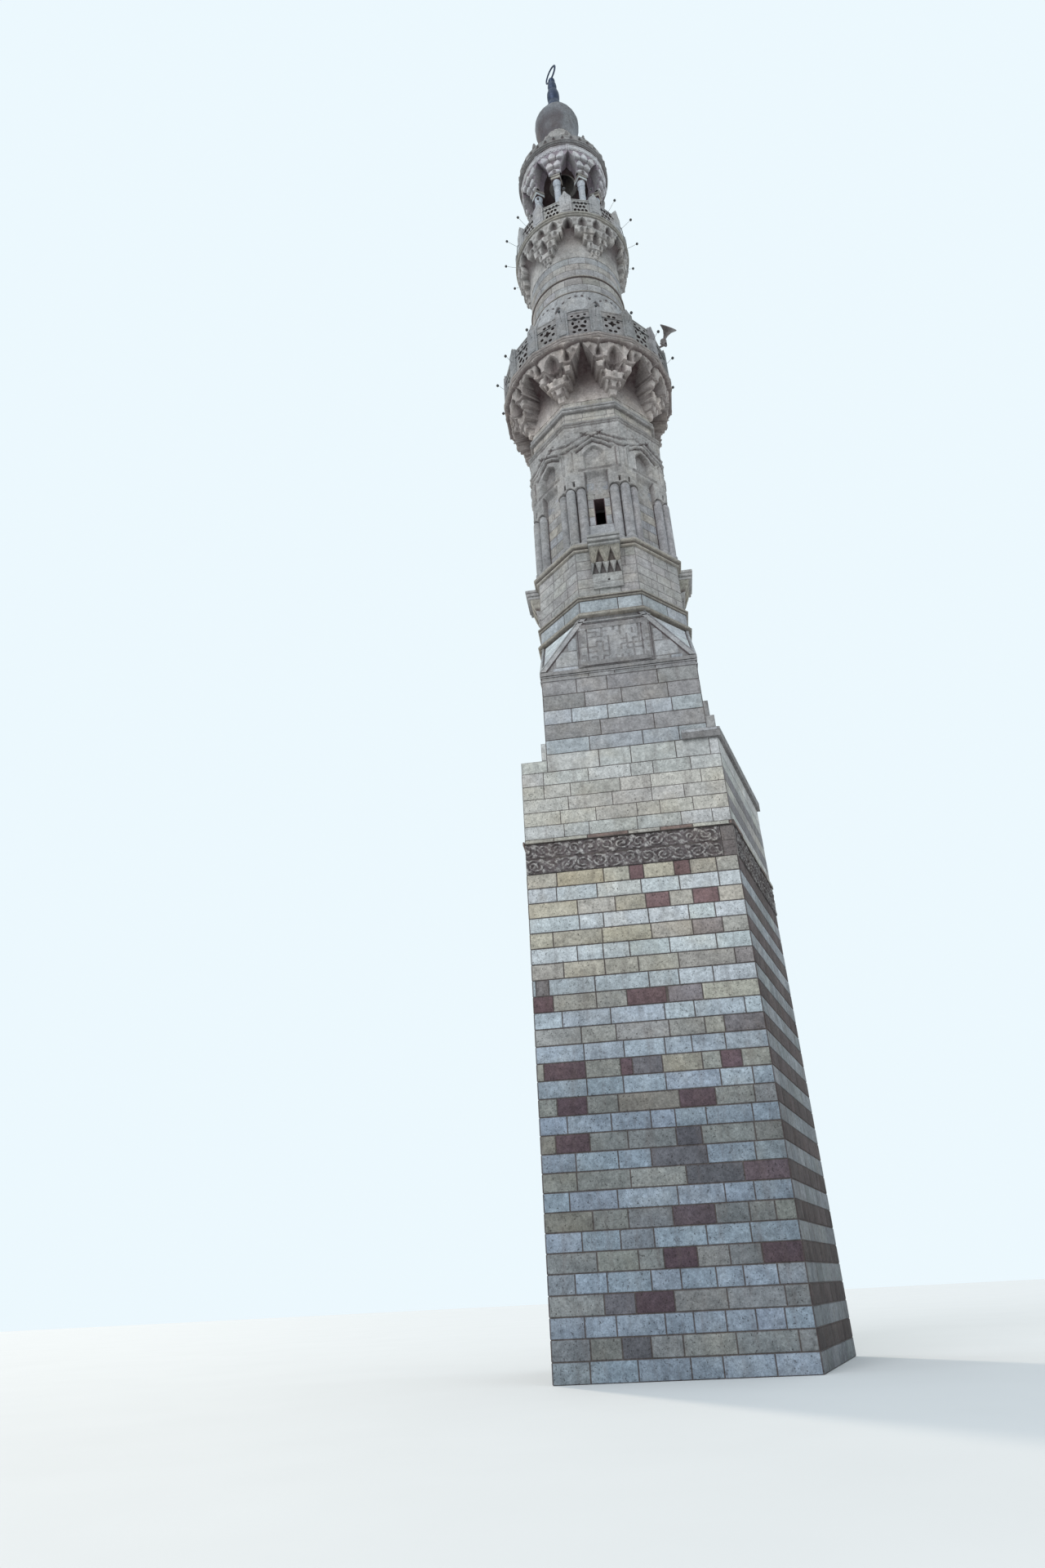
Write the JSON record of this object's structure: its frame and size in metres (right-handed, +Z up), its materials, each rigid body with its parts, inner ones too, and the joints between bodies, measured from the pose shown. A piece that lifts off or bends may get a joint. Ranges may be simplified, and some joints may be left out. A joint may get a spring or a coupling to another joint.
{
  "type": "minaret",
  "caption": "Stone minaret: slanted corner pier, square shaft, octagonal and round tiers with corbelled balconies, open columned pavilion, bulb dome and crescent finial.",
  "frame": {"origin": "ground level on the tower's axis, on the underside of the pier's ground slab", "axes": "+Z up the tower, -Y towards the front face, +X to the right as seen from the front"},
  "size_m": [5.2732, 4.8444, 39.627],
  "materials": {
    "stone_pale": "dressed limestone in pale and buff courses",
    "stone_buff": "dressed limestone",
    "stone_grey": "weathered grey limestone",
    "marble": "dull marble",
    "bronze": "dark weathered bronze",
    "lamp_metal": "dull dark paint",
    "horn_metal": "dusty grey paint"
  },
  "bodies": {
    "root": {"base_wall_front": "stone_pale", "base_wall_right": "stone_pale", "base_wall_left": "stone_pale", "base_wall_back_left": "stone_pale", "base_wall_back_right": "stone_pale", "base_wall_over_door": "stone_pale", "octagon_base_moulding": "stone_pale", "ground_slab": "stone_buff", "string_course": "stone_buff", "upper_base": "stone_buff", "roof_floor": "stone_buff", "street_parapet": "stone_buff", "carved_band": "stone_grey", "left_shoulder": "stone_grey", "right_shoulder": "stone_grey", "corner_cornice": "stone_grey", "shaft_wall_front": "stone_grey", "shaft_wall_left": "stone_grey", "shaft_wall_right": "stone_grey", "shaft_wall_back_left": "stone_grey", "shaft_wall_back_right": "stone_grey", "shaft_lintel": "stone_grey", "shaft_band": "stone_grey", "transition": "stone_grey", "lower_octagon": "stone_grey", "ledge_moulding": "stone_grey", "upper_octagon": "stone_grey", "balconette_front": "stone_grey", "balconette_right": "stone_grey", "balconette_back": "stone_grey", "balconette_left": "stone_grey", "colonnettes": "stone_grey", "blind_arcade": "stone_grey", "balcony1_muqarnas": "stone_grey", "balcony2_muqarnas": "stone_grey", "balcony1_floor": "stone_grey", "balcony2_floor": "stone_grey", "balcony1_parapet": "stone_grey", "balcony2_parapet": "stone_grey", "drum_wall_left": "stone_grey", "drum_wall_front": "stone_grey", "drum_wall_right": "stone_grey", "round_shaft": "stone_grey", "pavilion_arcade": "stone_grey", "pavilion_cornice": "stone_grey", "bulb_neck": "stone_grey", "bulb_dome": "stone_grey", "finial": "bronze", "crescent": "bronze", "lamps_lower": "lamp_metal", "lamps_upper": "lamp_metal", "horn_bracket": "horn_metal", "horn_loudspeaker": "horn_metal", "pavilion_columns": "marble"}
  },
  "joints": []
}
